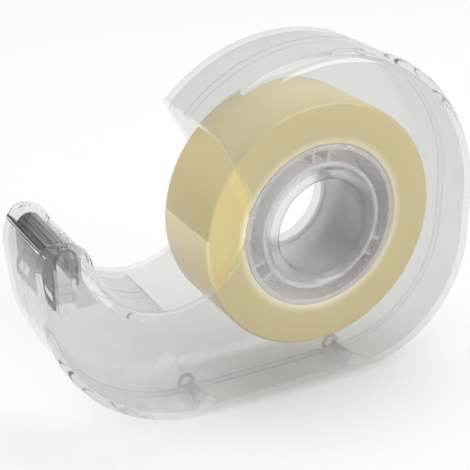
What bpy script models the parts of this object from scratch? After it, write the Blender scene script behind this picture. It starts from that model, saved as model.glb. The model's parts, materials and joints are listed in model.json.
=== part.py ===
"""Handheld tape dispenser: two clear half shells, a steel cutter, and a tape roll on its core.

Sizes are in metres. X runs from the cutter (-X) to the heel (+X), Y across the tape, and Z up.
Outlines are measured from the roll's axis, and every piece is then placed at ROLL_AXIS, so that
the part stands on Z = 0 with its origin under the middle of its length.
"""

import math

import bmesh
import bpy
from mathutils import Matrix

MM = 0.001

# Driving sizes, measured from the roll's axis
FRONT_X = -59.9 * MM
BACK_X = 37.3 * MM
BASE_Z = -36.2 * MM
CROWN_TOP = 36.1 * MM
SHELL_WIDTH = 23.0 * MM
WALL = 1.5 * MM
EDGE_RADIUS = 3.0 * MM
SEAM_GAP = 0.3 * MM
FIT_GAP = 0.3 * MM
BITE = 0.5 * MM

ROLL_AXIS = (-(FRONT_X + BACK_X) / 2, 0.0, -BASE_Z)
HALF_WIDTH = SHELL_WIDTH / 2
INNER_Y = HALF_WIDTH - WALL

# Rim of the shell
TOE_RADIUS = 33.0 * MM
FRONT_LEAN = 5.5
BEND_RADIUS = 10.0 * MM
BEND_Z = 2.4 * MM
BEND_END = 125
HEEL_RADIUS = 27.0 * MM
CROWN_RADIUS = 36.5 * MM
CROWN_END = 155
BLANK_TOP = 18.0 * MM

# Mouth between the hood and the head
MOUTH_CENTRE = (-33.5 * MM, 6.5 * MM)
MOUTH_RADIUS = 16.3 * MM
HOOD_TIP = (-25.6 * MM, 25.0 * MM)
CLEAR_OUT = 15.0 * MM

# Head: rounded side caps that stand above the cutter
CAP_TOP = 8.7 * MM
CAP_BACK_RADIUS = 5.0 * MM
CAP_FRONT_RADIUS = 2.2 * MM
FRONT_WALL_TOP = 7.2 * MM
FRONT_WALL_FOOT = FRONT_X + 1.9 * WALL
CUTTER_GAP_HALF = 9.85 * MM

# Concave platform that the tape's end rests on
PLATFORM_TOP_RADIUS = 16.9 * MM
PLATFORM_UNDER_RADIUS = 18.7 * MM
PLATFORM_HIGH = 190
PLATFORM_LOW = 266
LAND_TOP = 5.7 * MM
LAND_ROUND = 1.2 * MM

# Hub and roll
BORE_RADIUS = 10.0 * MM
HUB_RADIUS = 12.2 * MM
FLARE_RADIUS = 2.5 * MM
HUB_SPLIT_Y = 7.35 * MM
CORE_BORE = 12.6 * MM
CORE_INNER = 13.6 * MM
CORE_OUTER = 16.1 * MM
CORE_RADIUS = 17.2 * MM
CORE_HALF = 9.4 * MM
WEB_HALF = 0.6 * MM
RIB_HALF = 8.4 * MM
RIB_THICK = 0.8 * MM
RIB_SPREAD = 7
RIB_PAIRS = (90, 210, 330)
TAPE_INNER = 17.5 * MM
TAPE_OUTER = 25.9 * MM
TAPE_HALF = 9.5 * MM

# Base posts: sockets on the near half, pins on the far half
POST_RADIUS = 2.0 * MM
POST_HEIGHT = BASE_Z + 2.7 * MM
POST_PLACES = (-26.3 * MM, 9.0 * MM)
POST_SETBACK = 0.1 * MM
POST_BITE = 0.2 * MM
SOCKET_RADIUS = 1.3 * MM
SOCKET_DEPTH = 7.0 * MM
PIN_RADIUS = 1.0 * MM
PIN_REACH = 5.5 * MM

# Steel cutter: front leg, convex land and back leg of one sheet, with a toothed lip in front
SHEET = 0.5 * MM
BLADE_HALF = 9.25 * MM
LAND_CENTRE = (-54.35 * MM, 4.6 * MM)
LAND_RADIUS = 2.3 * MM
FRONT_LEG_END = -4.8 * MM
BACK_LEG_END = -0.7 * MM
LIP_ROOT = (-56.35 * MM, 5.5 * MM)
LIP_TIP = (-58.7 * MM, 7.75 * MM)
LIP_SHEET = 0.4 * MM
TOOTH_DEPTH = 1.1 * MM
TOOTH_COUNT = 19
SLOT_NEAR = 2.5 * MM
SLOT_FAR = 9.0 * MM
SLOT_LOW = -3.7 * MM
SLOT_HIGH = -1.4 * MM

# Moulded seat inside the cutter, and the floor under it
SEAT_LENGTH = 3.0 * MM
SEAT_LOW = -6.0 * MM
FLOOR_TOP = -5.0 * MM
FLOOR_UNDER = -7.2 * MM
FLOOR_FRONT = -55.0 * MM
FLOOR_SLOPE = 1.4 * MM

ARC_STEP = 6
ROUND_SEGMENTS = 3
CIRCLE_SEGMENTS = 40
TAPE_SEGMENTS = 60
WELD = 0.00001

PARTS = "tape_dispenser"
CUTTERS = "tape_dispenser_cutters"


def clear_scene():
    for old in list(bpy.data.objects):
        bpy.data.objects.remove(old)


def make_collection(name, hidden):
    collection = bpy.data.collections.new(name)
    bpy.context.scene.collection.children.link(collection)
    collection.hide_render = hidden
    return collection


def make_material(name, colour, roughness, metallic=0.0, transmission=0.0):
    material = bpy.data.materials.new(name)
    material.use_nodes = True
    shader = material.node_tree.nodes["Principled BSDF"]
    shader.inputs["Base Color"].default_value = (*colour, 1.0)
    shader.inputs["Roughness"].default_value = roughness
    shader.inputs["Metallic"].default_value = metallic
    shader.inputs["Transmission Weight"].default_value = transmission
    material.diffuse_color = (*colour, 1.0)
    return material


def add_part(name, mesh, material):
    """A visible sub-part, with its origin on the roll's axis."""
    part = bpy.data.objects.new(name, mesh)
    part.location = ROLL_AXIS
    mesh.materials.clear()
    mesh.materials.append(material)
    mesh.shade_smooth()
    mesh.set_sharp_from_angle(angle=math.radians(30))
    bpy.data.collections[PARTS].objects.link(part)
    return part


def add_cutter(name, mesh):
    """A hidden operand for a Boolean."""
    cutter = bpy.data.objects.new(name, mesh)
    cutter.location = ROLL_AXIS
    cutter.hide_render = True
    cutter.display_type = "WIRE"
    bpy.data.collections[CUTTERS].objects.link(cutter)
    return cutter


def combine(part, operation, other):
    modifier = part.modifiers.new(other.name, "BOOLEAN")
    modifier.operation = operation
    modifier.object = other


def on_circle(centre, radius, degrees):
    turn = math.radians(degrees)
    return centre[0] + radius * math.cos(turn), centre[1] + radius * math.sin(turn)


def arc(centre, radius, start, end, step=ARC_STEP):
    """Points on an arc from one angle to another, in degrees."""
    count = max(1, round(abs(end - start) / step))
    return [on_circle(centre, radius, start + (end - start) * i / count) for i in range(count + 1)]


def finish_mesh(mesh):
    """Welds loose caps, merges their flat triangles and points every face outwards."""
    shape = bmesh.new()
    shape.from_mesh(mesh)
    bmesh.ops.remove_doubles(shape, verts=shape.verts, dist=WELD)
    bmesh.ops.dissolve_limit(shape, angle_limit=math.radians(1), verts=shape.verts, edges=shape.edges)
    bmesh.ops.recalc_face_normals(shape, faces=shape.faces)
    shape.to_mesh(mesh)
    shape.free()
    return mesh


def plate(name, outline, low_y, high_y):
    """A mesh of a flat outline in X and Z, as thick as the span from low_y to high_y."""
    curve = bpy.data.curves.new(name, "CURVE")
    curve.dimensions = "2D"
    curve.fill_mode = "BOTH"
    curve.extrude = (high_y - low_y) / 2
    spline = curve.splines.new("POLY")
    spline.points.add(len(outline) - 1)
    for point, (x, z) in zip(spline.points, outline):
        point.co = (x, z, 0.0, 1.0)
    spline.use_cyclic_u = True
    holder = bpy.data.objects.new(name, curve)
    bpy.context.scene.collection.objects.link(holder)
    graph = bpy.context.evaluated_depsgraph_get()
    mesh = bpy.data.meshes.new_from_object(holder.evaluated_get(graph))
    bpy.data.objects.remove(holder)
    stand_up = Matrix.Rotation(math.radians(90), 4, "X")
    mesh.transform(Matrix.Translation((0.0, (low_y + high_y) / 2, 0.0)) @ stand_up)
    return finish_mesh(mesh)


def box(name, low, high):
    """A mesh of a box between two corners."""
    mesh = bpy.data.meshes.new(name)
    shape = bmesh.new()
    bmesh.ops.create_cube(shape, size=1.0)
    middle = [(a + b) / 2 for a, b in zip(low, high)]
    sides = [b - a for a, b in zip(low, high)]
    bmesh.ops.transform(shape, matrix=Matrix.LocRotScale(middle, None, sides), verts=shape.verts)
    shape.to_mesh(mesh)
    shape.free()
    return mesh


def rod(name, centre, radius, low_y, high_y, segments=CIRCLE_SEGMENTS):
    """A mesh of a cylinder that lies across the dispenser."""
    mesh = bpy.data.meshes.new(name)
    shape = bmesh.new()
    bmesh.ops.create_cone(
        shape, cap_ends=True, segments=segments, radius1=radius, radius2=radius, depth=high_y - low_y
    )
    place = Matrix.Translation((centre[0], (low_y + high_y) / 2, centre[1]))
    bmesh.ops.transform(shape, matrix=place @ Matrix.Rotation(math.radians(90), 4, "X"), verts=shape.verts)
    shape.to_mesh(mesh)
    shape.free()
    return mesh


def turned(name, profile, segments):
    """A mesh turned about the roll's axis. Its (radius, y) profile closes on itself or on the axis."""
    mesh = bpy.data.meshes.new(name)
    edges = [(i, i + 1) for i in range(len(profile) - 1)]
    if profile[0][0] > 0.0:
        edges.append((len(profile) - 1, 0))
    mesh.from_pydata([(r, y, 0.0) for r, y in profile], edges, [])
    holder = bpy.data.objects.new(name, mesh)
    bpy.context.scene.collection.objects.link(holder)
    screw = holder.modifiers.new("turn", "SCREW")
    screw.axis = "Y"
    screw.steps = segments
    screw.render_steps = segments
    screw.use_merge_vertices = True
    screw.merge_threshold = WELD
    graph = bpy.context.evaluated_depsgraph_get()
    result = bpy.data.meshes.new_from_object(holder.evaluated_get(graph))
    bpy.data.objects.remove(holder)
    return finish_mesh(result)


def rim_outline(inset):
    """Side view of the shell before its mouth is cut, drawn in from the outside by inset.

    The front wall leans forwards from the toe's arc, reaches FRONT_X and bends back towards its top.
    """
    lean = math.radians(FRONT_LEAN)
    bend = (FRONT_X + BEND_RADIUS, BEND_Z)
    wall_x = bend[0] - BEND_RADIUS * math.cos(lean)
    wall_rise = BEND_Z - BEND_RADIUS * math.sin(lean) - BASE_Z - TOE_RADIUS * (1 - math.sin(lean))
    toe_x = wall_x + wall_rise * math.tan(lean) + TOE_RADIUS * math.cos(lean)
    toe = (toe_x, BASE_Z + TOE_RADIUS)
    heel = (BACK_X - HEEL_RADIUS, BASE_Z + HEEL_RADIUS)
    crown = (BACK_X - CROWN_RADIUS, CROWN_TOP - CROWN_RADIUS)
    points = arc(toe, TOE_RADIUS - inset, 270, 180 + FRONT_LEAN)
    points += arc(bend, BEND_RADIUS - inset, 180 + FRONT_LEAN, 180)
    points += arc(bend, BEND_RADIUS - inset, 180, BEND_END, 3 * ARC_STEP)[1:]
    points.append((FRONT_X + MOUTH_RADIUS / 4, BLANK_TOP - inset))
    points.append((FRONT_X + MOUTH_RADIUS, BLANK_TOP - inset))
    points += arc(crown, CROWN_RADIUS - inset, CROWN_END, 0)
    points += arc(heel, HEEL_RADIUS - inset, 0, -90)
    return points


def mouth_outline():
    """Everything above the head, the mouth's edge and the hood's front edge."""
    away = math.hypot(HOOD_TIP[0] - MOUTH_CENTRE[0], HOOD_TIP[1] - MOUTH_CENTRE[1])
    bearing = math.atan2(HOOD_TIP[1] - MOUTH_CENTRE[1], HOOD_TIP[0] - MOUTH_CENTRE[0])
    touch = math.degrees(bearing - math.acos(MOUTH_RADIUS / away))
    start = on_circle(MOUTH_CENTRE, MOUTH_RADIUS, touch)
    run = math.hypot(HOOD_TIP[0] - start[0], HOOD_TIP[1] - start[1])
    beyond = [tip + (tip - low) * CLEAR_OUT / run for tip, low in zip(HOOD_TIP, start)]
    cap_back = (MOUTH_CENTRE[0] - MOUTH_RADIUS - CAP_BACK_RADIUS, CAP_TOP - CAP_BACK_RADIUS)
    reach = BEND_RADIUS - CAP_FRONT_RADIUS
    cap_rise = math.asin((CAP_TOP - CAP_FRONT_RADIUS - BEND_Z) / reach)
    cap_front = (FRONT_X + BEND_RADIUS - reach * math.cos(cap_rise), CAP_TOP - CAP_FRONT_RADIUS)
    outside = FRONT_X - CLEAR_OUT
    above = CROWN_TOP + CLEAR_OUT
    points = [(beyond[0], above), tuple(beyond)]
    points += arc(MOUTH_CENTRE, MOUTH_RADIUS, touch, -174)
    points += arc(cap_back, CAP_BACK_RADIUS, 10, 90, 2 * ARC_STEP)
    points += arc(cap_front, CAP_FRONT_RADIUS, 90, 180 - math.degrees(cap_rise), 3 * ARC_STEP)
    points += [(outside, points[-1][1]), (outside, above)]
    return points


def rounded_blank(name, inset):
    """The rim outline as a solid with rounded long edges."""
    mesh = plate(name, rim_outline(inset), inset - HALF_WIDTH, HALF_WIDTH - inset)
    holder = bpy.data.objects.new(name, mesh)
    bpy.context.scene.collection.objects.link(holder)
    edges = holder.modifiers.new("edges", "BEVEL")
    edges.width = EDGE_RADIUS - inset
    edges.segments = ROUND_SEGMENTS
    edges.limit_method = "ANGLE"
    edges.angle_limit = math.radians(60)
    edges.use_clamp_overlap = False
    graph = bpy.context.evaluated_depsgraph_get()
    result = bpy.data.meshes.new_from_object(holder.evaluated_get(graph))
    bpy.data.objects.remove(holder)
    return result


def platform_outline():
    """Concave strip along the mouth, with a rounded land behind the cutter at its upper end."""
    land_end = LAND_CENTRE[0] + LAND_RADIUS + SHEET / 2 + FIT_GAP
    corner = on_circle(MOUTH_CENTRE, PLATFORM_TOP_RADIUS, PLATFORM_HIGH)
    shoulder = (corner[0] - LAND_ROUND, LAND_TOP - LAND_ROUND)
    points = arc(MOUTH_CENTRE, PLATFORM_TOP_RADIUS, PLATFORM_LOW, PLATFORM_HIGH)
    points += arc(shoulder, LAND_ROUND, 10, 90, 5 * ARC_STEP)
    points.append((land_end, LAND_TOP))
    points.append((land_end, corner[1] - LAND_ROUND))
    points += arc(MOUTH_CENTRE, PLATFORM_UNDER_RADIUS, PLATFORM_HIGH + ARC_STEP, PLATFORM_LOW)
    return points


def seat_outline():
    """Block that fits inside the cutter's bend."""
    radius = LAND_RADIUS - SHEET / 2 - FIT_GAP
    points = arc(LAND_CENTRE, radius, 0, 180, 5 * ARC_STEP)
    return points + [(LAND_CENTRE[0] - radius, SEAT_LOW), (LAND_CENTRE[0] + radius, SEAT_LOW)]


def floor_outline():
    """Sloped floor that closes the head under the cutter and runs into the platform."""
    points = [(FLOOR_FRONT, FLOOR_TOP), (FLOOR_FRONT + FLOOR_SLOPE, FLOOR_UNDER)]
    middle = (PLATFORM_TOP_RADIUS + PLATFORM_UNDER_RADIUS) / 2
    for height in (FLOOR_UNDER, FLOOR_TOP):
        drop = MOUTH_CENTRE[1] - height
        points.append((MOUTH_CENTRE[0] - math.sqrt(middle**2 - drop**2), height))
    return points


def gap_outline():
    """Gap between the side caps, down to a front wall whose top slopes along under the cutter's lip."""
    slope = (LIP_TIP[1] - LIP_ROOT[1]) / (LIP_TIP[0] - LIP_ROOT[0])
    above = CAP_TOP + WALL
    front = FRONT_X - WALL
    back = FRONT_X + 6 * WALL
    top_x = FRONT_X + BEND_RADIUS - math.sqrt(BEND_RADIUS**2 - (FRONT_WALL_TOP - BEND_Z) ** 2)
    front_z, foot_z = (FRONT_WALL_TOP + slope * (x - top_x) for x in (front, FRONT_WALL_FOOT))
    return [(back, above), (front, above), (front, front_z), (FRONT_WALL_FOOT, foot_z), (back, foot_z)]


def bore_profile(side):
    """Through bore of the hub, flared where the side wall turns into it. side is -1 near or +1 far."""
    flare = (BORE_RADIUS + FLARE_RADIUS, HALF_WIDTH - FLARE_RADIUS)
    outside = HALF_WIDTH + CLEAR_OUT
    points = [(0.0, -outside), (BORE_RADIUS, -outside)]
    points += arc(flare, FLARE_RADIUS, 180, 95, 4 * ARC_STEP)
    points += [(flare[0], HALF_WIDTH + MM), (flare[0], outside), (0.0, outside)]
    return [(radius, y * side) for radius, y in points]


def make_half(name, side, material):
    """One half shell. side is -1 for the near half and +1 for the far half."""
    seam = SEAM_GAP / 2
    outside = HALF_WIDTH + CLEAR_OUT

    def across(inner, outer):
        return tuple(sorted((inner * side, outer * side)))

    half = add_part(name, rounded_blank(name, 0.0), material)
    reach = 5 * CLEAR_OUT
    other_side = across(seam, -outside)
    combine(half, "DIFFERENCE", add_cutter(name + "_cavity", rounded_blank(name + "_cavity", WALL)))
    mouth = plate(name + "_mouth", mouth_outline(), -outside, outside)
    combine(half, "DIFFERENCE", add_cutter(name + "_mouth", mouth))
    gap = plate(name + "_cutter_gap", gap_outline(), -CUTTER_GAP_HALF, CUTTER_GAP_HALF)
    combine(half, "DIFFERENCE", add_cutter(name + "_cutter_gap", gap))
    other = box(name + "_other_half", (-reach, other_side[0], -reach), (reach, other_side[1], reach))
    combine(half, "DIFFERENCE", add_cutter(name + "_other_half", other))

    wall_side = INNER_Y + BITE
    platform = plate(name + "_platform", platform_outline(), *across(seam, wall_side))
    combine(half, "UNION", add_cutter(name + "_platform", platform))
    floor = plate(name + "_head_floor", floor_outline(), *across(seam, wall_side))
    combine(half, "UNION", add_cutter(name + "_head_floor", floor))
    seat = plate(name + "_seat", seat_outline(), *across(INNER_Y - SEAT_LENGTH, wall_side))
    combine(half, "UNION", add_cutter(name + "_seat", seat))

    hub = rod(name + "_hub", (0.0, 0.0), HUB_RADIUS, *across(HUB_SPLIT_Y * side + seam, wall_side))
    combine(half, "UNION", add_cutter(name + "_hub", hub))
    bore = turned(name + "_bore", bore_profile(side), CIRCLE_SEGMENTS)
    combine(half, "DIFFERENCE", add_cutter(name + "_bore", bore))

    for count, x in enumerate(POST_PLACES, start=1):
        centre = (x, POST_HEIGHT)
        post_span = across(seam + POST_SETBACK, INNER_Y + POST_BITE)
        post = rod(f"{name}_post_{count}", centre, POST_RADIUS, *post_span, segments=16)
        combine(half, "UNION", add_cutter(post.name, post))
        if side > 0:
            pin = rod(f"{name}_pin_{count}", centre, PIN_RADIUS, -PIN_REACH, BITE, segments=12)
            combine(half, "UNION", add_cutter(pin.name, pin))
        else:
            socket = rod(f"{name}_socket_{count}", centre, SOCKET_RADIUS, -SOCKET_DEPTH, BITE, segments=12)
            combine(half, "DIFFERENCE", add_cutter(socket.name, socket))
    return half


def blade_outline():
    """Section of the bent sheet: front leg, land and back leg."""
    outer = LAND_RADIUS + SHEET / 2
    inner = LAND_RADIUS - SHEET / 2
    middle = LAND_CENTRE[0]
    points = [(middle + outer, BACK_LEG_END)]
    points += arc(LAND_CENTRE, outer, 0, 180, 2 * ARC_STEP)
    points += [(middle - outer, FRONT_LEG_END), (middle - inner, FRONT_LEG_END)]
    points += arc(LAND_CENTRE, inner, 180, 0, 2 * ARC_STEP)
    points.append((middle + inner, BACK_LEG_END))
    return points


def lip_mesh():
    """Toothed lip: a comb drawn flat, then tilted forwards and up from the land."""
    length = math.hypot(LIP_TIP[0] - LIP_ROOT[0], LIP_TIP[1] - LIP_ROOT[1])
    pitch = 2 * BLADE_HALF / TOOTH_COUNT
    comb = [(0.0, BLADE_HALF), (0.0, -BLADE_HALF)]
    for tooth in range(TOOTH_COUNT):
        root = -BLADE_HALF + pitch * tooth
        comb += [(length - TOOTH_DEPTH, root), (length, root + pitch / 2)]
    comb.append((length - TOOTH_DEPTH, BLADE_HALF))
    mesh = plate("cutter_lip", comb, -LIP_SHEET / 2, LIP_SHEET / 2)
    tilt = math.atan2(LIP_TIP[1] - LIP_ROOT[1], LIP_ROOT[0] - LIP_TIP[0])
    lay_across = Matrix.Rotation(math.radians(90), 4, "X")
    turn_forward = Matrix.Rotation(tilt, 4, "Y") @ Matrix.Rotation(math.radians(180), 4, "Z")
    place = Matrix.Translation((LIP_ROOT[0], 0.0, LIP_ROOT[1]))
    mesh.transform(place @ turn_forward @ lay_across)
    return finish_mesh(mesh)


def make_blade(material):
    sheet = plate("cutter_blade", blade_outline(), -BLADE_HALF, BLADE_HALF)
    blade = add_part("cutter_blade", sheet, material)
    combine(blade, "UNION", add_cutter("cutter_lip", lip_mesh()))
    front = LAND_CENTRE[0] - LAND_RADIUS
    for side in (-1, 1):
        low_y, high_y = sorted((SLOT_NEAR * side, SLOT_FAR * side))
        name = f"cutter_slot_{'near' if side < 0 else 'far'}"
        slot = box(name, (front - MM, low_y, SLOT_LOW), (front + MM, high_y, SLOT_HIGH))
        combine(blade, "DIFFERENCE", add_cutter(name, slot))
    return blade


def make_core(material):
    profile = [
        (CORE_BORE, -CORE_HALF),
        (CORE_INNER, -CORE_HALF),
        (CORE_INNER, -WEB_HALF),
        (CORE_OUTER, -WEB_HALF),
        (CORE_OUTER, -CORE_HALF),
        (CORE_RADIUS, -CORE_HALF),
    ]
    profile += [(radius, -y) for radius, y in reversed(profile)]
    core = add_part("tape_core", turned("tape_core", profile, CIRCLE_SEGMENTS), material)
    middle = (CORE_INNER + CORE_OUTER) / 2
    reach = (CORE_OUTER - CORE_INNER) / 2 + BITE
    for pair in RIB_PAIRS:
        for degrees in (pair - RIB_SPREAD, pair + RIB_SPREAD):
            name = f"core_rib_{degrees}"
            low = (middle - reach, -RIB_HALF, -RIB_THICK / 2)
            rib = box(name, low, (middle + reach, RIB_HALF, RIB_THICK / 2))
            rib.transform(Matrix.Rotation(math.radians(-degrees), 4, "Y"))
            combine(core, "UNION", add_cutter(name, rib))
    return core


def make_tape(material):
    profile = [
        (TAPE_OUTER, TAPE_HALF),
        (TAPE_OUTER, -TAPE_HALF),
        (TAPE_INNER, -TAPE_HALF),
        (TAPE_INNER, TAPE_HALF),
    ]
    return add_part("tape_roll", turned("tape_roll", profile, TAPE_SEGMENTS), material)


def main():
    clear_scene()
    make_collection(PARTS, hidden=False)
    make_collection(CUTTERS, hidden=True)
    clear_plastic = make_material("clear_polystyrene", (0.86, 0.88, 0.88), 0.06, transmission=0.9)
    core_plastic = make_material("clear_core", (0.80, 0.81, 0.83), 0.12, transmission=0.8)
    steel = make_material("cutter_steel", (0.36, 0.36, 0.37), 0.32, metallic=1.0)
    tape = make_material("wound_tape", (0.55, 0.46, 0.24), 0.35)
    make_half("near_half", -1, clear_plastic)
    make_half("far_half", 1, clear_plastic)
    make_blade(steel)
    make_core(core_plastic)
    make_tape(tape)


main()
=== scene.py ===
"""Looks of the handheld tape dispenser, laid out as an add-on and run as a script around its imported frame.

Sizes are in metres. Outlines are drawn from the roll's axis, with X from the cutter (-X) to the heel (+X),
Y across the tape and Z up. Each finished mesh is then moved to the axis, so that a piece's object sits at
the origin and its place is in its mesh.
"""

import json
import math

import bmesh
import bpy
from bpy.props import FloatProperty, FloatVectorProperty, IntProperty, PointerProperty
from mathutils import Matrix, Vector


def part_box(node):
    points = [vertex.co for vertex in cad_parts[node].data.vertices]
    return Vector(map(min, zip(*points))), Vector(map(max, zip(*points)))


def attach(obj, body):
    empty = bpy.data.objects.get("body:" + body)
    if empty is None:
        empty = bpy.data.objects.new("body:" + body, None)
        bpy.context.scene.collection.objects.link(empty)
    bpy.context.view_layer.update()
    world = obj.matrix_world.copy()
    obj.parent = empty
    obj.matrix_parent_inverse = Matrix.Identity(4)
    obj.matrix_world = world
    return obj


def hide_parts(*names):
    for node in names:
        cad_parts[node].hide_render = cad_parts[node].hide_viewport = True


bl_info = {
    "name": "Handheld tape dispenser",
    "version": (1, 0, 0),
    "blender": (4, 5, 0),
    "location": "View3D > Sidebar > Dispenser",
    "description": "Builds the visible pieces of a clear handheld tape dispenser around its frame",
    "category": "Object",
}

MM = 0.001

# Taken from the frame
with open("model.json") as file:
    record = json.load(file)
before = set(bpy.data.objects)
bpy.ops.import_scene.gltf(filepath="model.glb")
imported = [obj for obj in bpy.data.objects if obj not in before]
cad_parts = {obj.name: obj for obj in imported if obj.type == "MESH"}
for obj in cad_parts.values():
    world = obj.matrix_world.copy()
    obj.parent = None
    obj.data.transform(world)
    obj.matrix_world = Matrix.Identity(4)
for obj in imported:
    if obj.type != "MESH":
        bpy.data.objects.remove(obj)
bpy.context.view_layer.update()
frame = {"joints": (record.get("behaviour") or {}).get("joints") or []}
ROLL_AXIS = Vector(next(j["pos_m"] for j in frame["joints"] if j["name"] == "roll_spin"))
SHELL_LOW, SHELL_HIGH = (corner - ROLL_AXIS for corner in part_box("near_half"))
BLADE_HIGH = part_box("cutter_blade")[1] - ROLL_AXIS
CORE_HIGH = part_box("tape_core")[1] - ROLL_AXIS
TAPE_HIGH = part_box("tape_roll")[1] - ROLL_AXIS
FRONT_X = SHELL_LOW.x
BACK_X = SHELL_HIGH.x
BASE_Z = SHELL_LOW.z
CROWN_TOP = SHELL_HIGH.z
HALF_WIDTH = -SHELL_LOW.y

# Rim of the shell
TOE_RADIUS = 33.0 * MM
FRONT_LEAN = 5.5
BEND_RADIUS = 10.0 * MM
BEND_Z = 2.4 * MM
BEND_END = 125
HEEL_RADIUS = 27.0 * MM
CROWN_RADIUS = 36.5 * MM
CROWN_END = 155
HOOD_STEP = (138.5, 135.5)
BLANK_TOP = 18.0 * MM

# Mouth between the hood and the head
MOUTH_CENTRE = (-33.5 * MM, 6.5 * MM)
MOUTH_RADIUS = 16.3 * MM
HOOD_TIP = (-25.6 * MM, 25.0 * MM)
MOUTH_END = -174
CLEAR_OUT = 15.0 * MM

# Head: rounded side caps that stand above the cutter. The two depths from the front are in wall thicknesses.
CAP_TOP = 8.7 * MM
CAP_BACK_RADIUS = 5.0 * MM
CAP_FRONT_RADIUS = 2.2 * MM
CAP_BACK_START = 10
FRONT_WALL_TOP = 7.2 * MM
FRONT_WALL_WALLS = 1.9
GAP_WALLS = 6
CUTTER_GAP_HALF = 9.4 * MM

# Concave platform that the tape's end rests on
PLATFORM_TOP_RADIUS = 16.9 * MM
PLATFORM_UNDER_RADIUS = 18.7 * MM
PLATFORM_HIGH = 190
PLATFORM_LOW = 266
PLATFORM_LEAD = 6
LAND_TOP = 5.7 * MM
LAND_ROUND = 0.7 * MM
LAND_START = 10

# Hub, split near the far wall
HUB_RADIUS = 12.2 * MM
HUB_SPLIT_Y = 7.35 * MM

# Core of the roll
CORE_BORE = 12.6 * MM
CORE_INNER = 13.6 * MM
CORE_OUTER = 16.1 * MM
WEB_HALF = 0.6 * MM
RIB_HALF = 8.4 * MM
RIB_SPREAD = 7
RIB_FIRST = 90
TAPE_INNER = CORE_HIGH.x + 0.03 * MM

# Base posts: sockets on the near half, pins on the far half
POST_RADIUS = 2.0 * MM
POST_HEIGHT = BASE_Z + 2.7 * MM
POST_PLACES = (-26.3 * MM, 9.0 * MM)
POST_SETBACK = 0.1 * MM
POST_BITE = 0.2 * MM
SOCKET_RADIUS = 1.3 * MM
SOCKET_DEPTH = 7.0 * MM
PIN_RADIUS = 1.0 * MM
PIN_REACH = 5.5 * MM

# Steel cutter
LAND_CENTRE = (-54.35 * MM, 4.6 * MM)
LAND_RADIUS = 2.3 * MM
FRONT_LEG_END = -4.8 * MM
BACK_LEG_END = -0.7 * MM
LIP_ROOT = (-56.35 * MM, 5.5 * MM)
LIP_TIP = (-58.7 * MM, 7.75 * MM)
LIP_SHEET = 0.4 * MM
SLOT_NEAR = 2.5 * MM
SLOT_FAR = 9.0 * MM
SLOT_LOW = -3.7 * MM
SLOT_HIGH = -1.4 * MM

# Moulded seat inside the cutter, and the floor under it
SEAT_LENGTH = 3.0 * MM
SEAT_LOW = -6.0 * MM
FLOOR_TOP = -5.0 * MM
FLOOR_UNDER = -7.2 * MM
FLOOR_FRONT = -55.0 * MM
FLOOR_SLOPE = 1.4 * MM

# Finishes, and painted light and shade, that stay the same all over a piece. The plastic's index is lower
# than the real one, which would put dark bars along the rounded rim that the photograph doesn't show.
PLASTIC_IOR = 1.05
LAMP_SHARE = (0.99, 0.99, 0.99)
TAPE_LAMP_SHARE = (0.82, 0.80, 0.74)
# Painted shade on walls seen at a slant: how dark it gets, and how fast it comes on
EDGE_SHADE = 0.76
SLANT_POWER = 2.0
# Lighter tint painted on the mouth's cut edge as a light band, and on the posts, the seam's faces and the
# base as painted light that lifts their shade; the base takes the share below
PAINTED_LIGHT_TINT = (0.97, 0.97, 0.97)
EDGE_FROST = 0.3
BASE_PAINTED_LIGHT = 0.7
SHELL_CLEARNESS = 0.96
CORE_CLEARNESS = 0.6
# Painted shade along the seam: the walls' colour goes darker, to SEAM_SHADE times the tint, within this
# reach of the seam
SEAM_SHADE_REACH = 0.32 * MM
SEAM_HALF = 0.06 * MM
SEAM_SHADE = 0.15
HUB_MATT = 0.3
PALE_RING = 2.2 * MM
STREAK_SCALE = 1800.0
STREAK_RANGE = (0.36, 0.64)
# How dark and how light the steel's streaks go: partly drawing lines, partly painted reflection
STEEL_DARK = 0.4
STEEL_BRIGHT = 1.15

# Fineness of the meshes
FIT_GAP = 0.3 * MM
BITE = 0.5 * MM
WELD = 0.02 * MM
ARC_STEP = 1.0
ROUND_SEGMENTS = 8
SOFT_SEGMENTS = 3
SOFT_ANGLE = math.radians(35)
FLAT_ANGLE = math.radians(0.05)
CIRCLE_SEGMENTS = 128
POST_SEGMENTS = 40
PIN_SEGMENTS = 24
BLANK_EDGE_ANGLE = math.radians(60)

# Gap that keeps the clear base out of optical contact with the floor
FLOOR_GAP = 0.1 * MM

# Soft boxes, in the frame
TOP_BOX_PLACE = (0.10, 0.05, 0.80)
TOP_BOX_SIZE = (0.9, 0.35)
SIDE_BOX_PLACE = (0.35, -0.55, 0.35)
SIDE_BOX_SIZE = (0.40, 0.30)

# Photograph's camera, in the frame
CAMERA_PLACE = (-107.5 * MM, -193.87 * MM, 134.76 * MM)
CAMERA_AZIMUTH = math.radians(-28.25)
CAMERA_ELEVATION = math.radians(24.671)
CAMERA_LENS = 91.91
CAMERA_SENSOR = 36.0


def length(name, description, default):
    """A size in metres that a user may change."""
    return FloatProperty(name=name, description=description, default=default, unit="LENGTH", precision=5)


def colour(name, description, default):
    return FloatVectorProperty(name=name, description=description, default=default, subtype="COLOR", size=3)


class ShellSizes(bpy.types.PropertyGroup):
    wall: length("Wall", "Thickness of the clear walls", 1.5 * MM)
    edge_radius: length("Edge radius", "Rounding between the side walls and the rim", 3.0 * MM)
    soft_edge: length("Soft edge", "Rounding of the cut edges round the mouth", 0.4 * MM)
    seam_gap: length("Seam gap", "Gap between the two halves", 2 * SEAM_HALF)
    seam_edge: length("Seam edge", "Rounding of the edges along the seam", 0.08 * MM)
    bore_radius: length("Bore radius", "Radius of the through bore of the hub", 10.0 * MM)
    flare_radius: length("Flare radius", "Rounding where a side wall turns into the bore", 2.5 * MM)


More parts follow.
